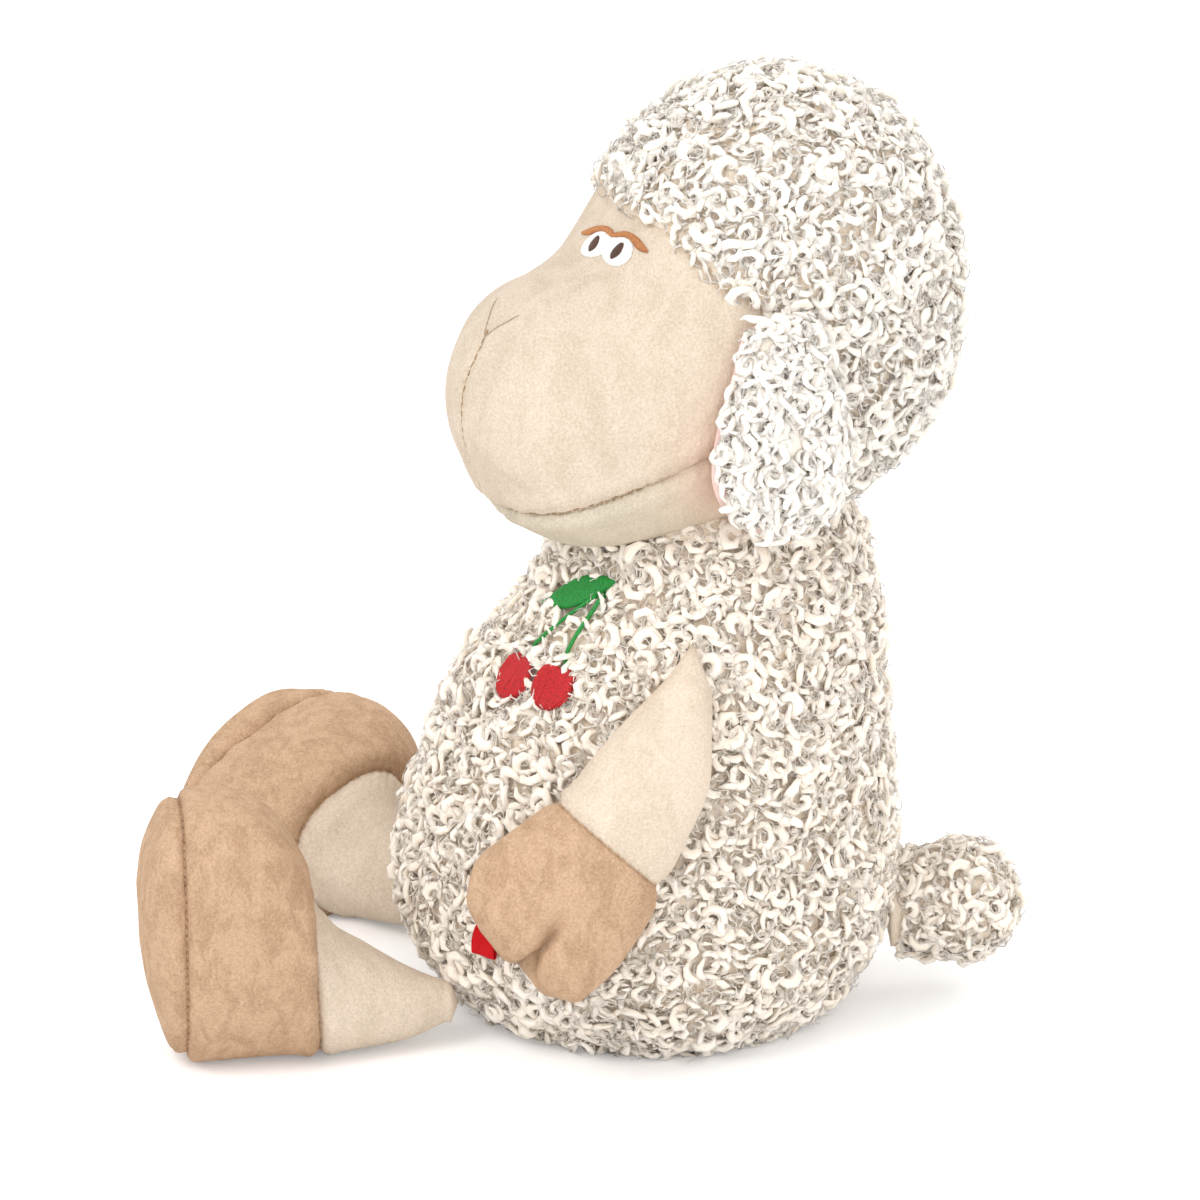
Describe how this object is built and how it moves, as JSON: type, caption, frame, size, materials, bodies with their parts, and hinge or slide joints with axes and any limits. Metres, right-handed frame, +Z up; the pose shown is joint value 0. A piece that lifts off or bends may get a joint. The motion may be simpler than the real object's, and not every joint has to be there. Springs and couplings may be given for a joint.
{
  "type": "plush sheep",
  "caption": "Seated plush sheep with a curly wool body, a turning velour-faced head, hanging ears, swinging arms, folding legs and a tail.",
  "frame": {"origin": "centre of the flat seat, on the floor", "axes": "+Z up, the sheep faces -Y, its left side is +X"},
  "size_m": [0.2593, 0.316, 0.34],
  "materials": {
    "base": "woven backing",
    "cherry": "satin stitch",
    "chin": "short pile",
    "eyelid": "satin stitch",
    "filling": "loose fibre",
    "hoof": "short pile",
    "leaf": "satin stitch",
    "lining": "short pile",
    "nose": "stitching",
    "pellets": "cotton bag",
    "pupil": "satin stitch",
    "sleeve": "short pile",
    "tag": "woven tape",
    "velour": "short pile",
    "white": "satin stitch",
    "wool": "curly pile"
  },
  "bodies": {
    "body": {"base_panel": "base", "body_cover": "wool", "body_filling": "filling", "cherry_leaf": "leaf", "cherry_left": "cherry", "cherry_right": "cherry", "cherry_stem": "leaf", "pellet_bag": "pellets", "side_tag": "tag"},
    "neck": {"neck_filling": "filling"},
    "head": {"head_filling": "filling", "hood_cover": "wool", "face_panel": "velour", "chin_panel": "chin", "nose_stitch": "nose", "eye_white_left": "white", "pupil_left": "pupil", "eyelid_left": "eyelid", "eye_white_right": "white", "pupil_right": "pupil", "eyelid_right": "eyelid"},
    "ear_left": {"ear_left": "wool", "ear_lining_left": "lining"},
    "arm_left": {"arm_filling_left": "filling", "arm_hoof_left": "hoof", "arm_sleeve_left": "sleeve"},
    "leg_left": {"leg_filling_left": "filling", "leg_hoof_left": "hoof", "leg_sleeve_left": "sleeve", "leg_sole_left": "hoof"},
    "ear_right": {"ear_right": "wool", "ear_lining_right": "lining"},
    "arm_right": {"arm_filling_right": "filling", "arm_hoof_right": "hoof", "arm_sleeve_right": "sleeve"},
    "leg_right": {"leg_filling_right": "filling", "leg_hoof_right": "hoof", "leg_sleeve_right": "sleeve", "leg_sole_right": "hoof"},
    "tail": {"tail_cover": "wool", "tail_filling": "filling"}
  },
  "joints": [
    {"name": "head_turn", "type": "hinge", "parent": "body", "child": "neck", "pos_m": [0, 0.02, 0.155], "axis": [0, 0, 1], "range_deg": [-60, 25]},
    {"name": "head_nod", "type": "hinge", "parent": "neck", "child": "head", "pos_m": [0, 0.02, 0.155], "axis": [0.9397, 0.342, 0], "range_deg": [-8, 8], "stiffness_Nm_per_rad": 1.5},
    {"name": "ear_left_lift", "type": "hinge", "parent": "head", "child": "ear_left", "pos_m": [0.05735, 0.04021, 0.272], "axis": [0.342, -0.9397, 0], "range_deg": [0, 90]},
    {"name": "arm_left_swing", "type": "hinge", "parent": "body", "child": "arm_left", "pos_m": [0.0701, 0.013, 0.15425], "axis": [-0.9781, 0, -0.2079], "range_deg": [-20, 60], "stiffness_Nm_per_rad": 0.15},
    {"name": "leg_left_lift", "type": "hinge", "parent": "body", "child": "leg_left", "pos_m": [0.046, -0.07599, 0.01875], "axis": [-0.9962, -0.0872, 0], "range_deg": [-50, 12]},
    {"name": "ear_right_lift", "type": "hinge", "parent": "head", "child": "ear_right", "pos_m": [-0.05692, -0.00138, 0.272], "axis": [-0.342, 0.9397, 0], "range_deg": [0, 90]},
    {"name": "arm_right_swing", "type": "hinge", "parent": "body", "child": "arm_right", "pos_m": [-0.0701, 0.013, 0.15425], "axis": [-0.9781, 0, 0.2079], "range_deg": [-20, 60], "stiffness_Nm_per_rad": 0.15},
    {"name": "leg_right_lift", "type": "hinge", "parent": "body", "child": "leg_right", "pos_m": [-0.046, -0.07599, 0.01875], "axis": [-0.6428, 0.766, 0], "range_deg": [-50, 12]},
    {"name": "tail_lift", "type": "hinge", "parent": "body", "child": "tail", "pos_m": [0, 0.09293, 0.033], "axis": [1, 0, 0], "range_deg": [-10, 45], "stiffness_Nm_per_rad": 0.03}
  ]
}
